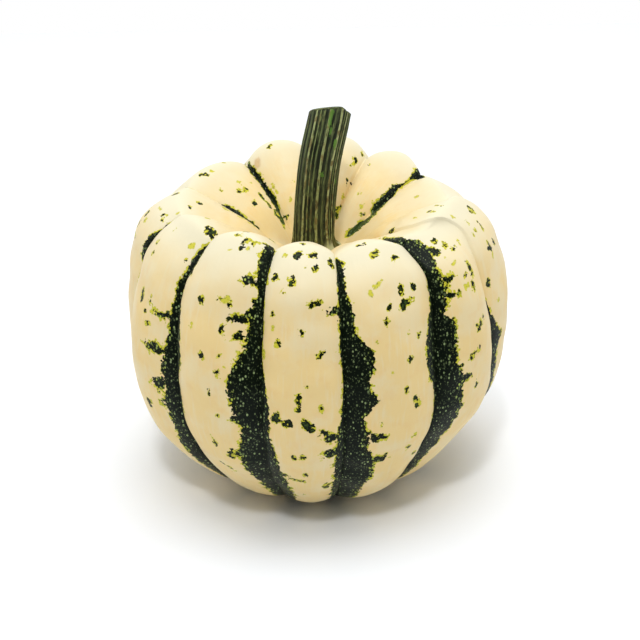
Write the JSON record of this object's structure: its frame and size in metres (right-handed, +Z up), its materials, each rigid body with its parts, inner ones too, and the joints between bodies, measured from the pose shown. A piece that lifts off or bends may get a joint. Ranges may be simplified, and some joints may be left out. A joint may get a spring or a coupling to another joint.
{
  "type": "sweet dumpling squash",
  "caption": "Small squat ribbed winter squash, cream with dark green speckled stripes in its furrows, with a curved woody stem in the hollow of its top.",
  "frame": {"origin": "middle of the small flat spot at the blossom end, on the surface that the fruit rests on", "axes": "+Z up along the fruit's core towards the stem, -Y towards the front, +X to the right seen from the front"},
  "size_m": [0.1028, 0.1036, 0.1036],
  "materials": {
    "squash_skin": "satin rind, cream with dark green stripes in the furrows and small green flecks",
    "dried_stem": "matt, fibrous, dark green with pale olive ridges"
  },
  "bodies": {
    "root": {"fruit": "squash_skin", "stem": "dried_stem"}
  },
  "joints": []
}
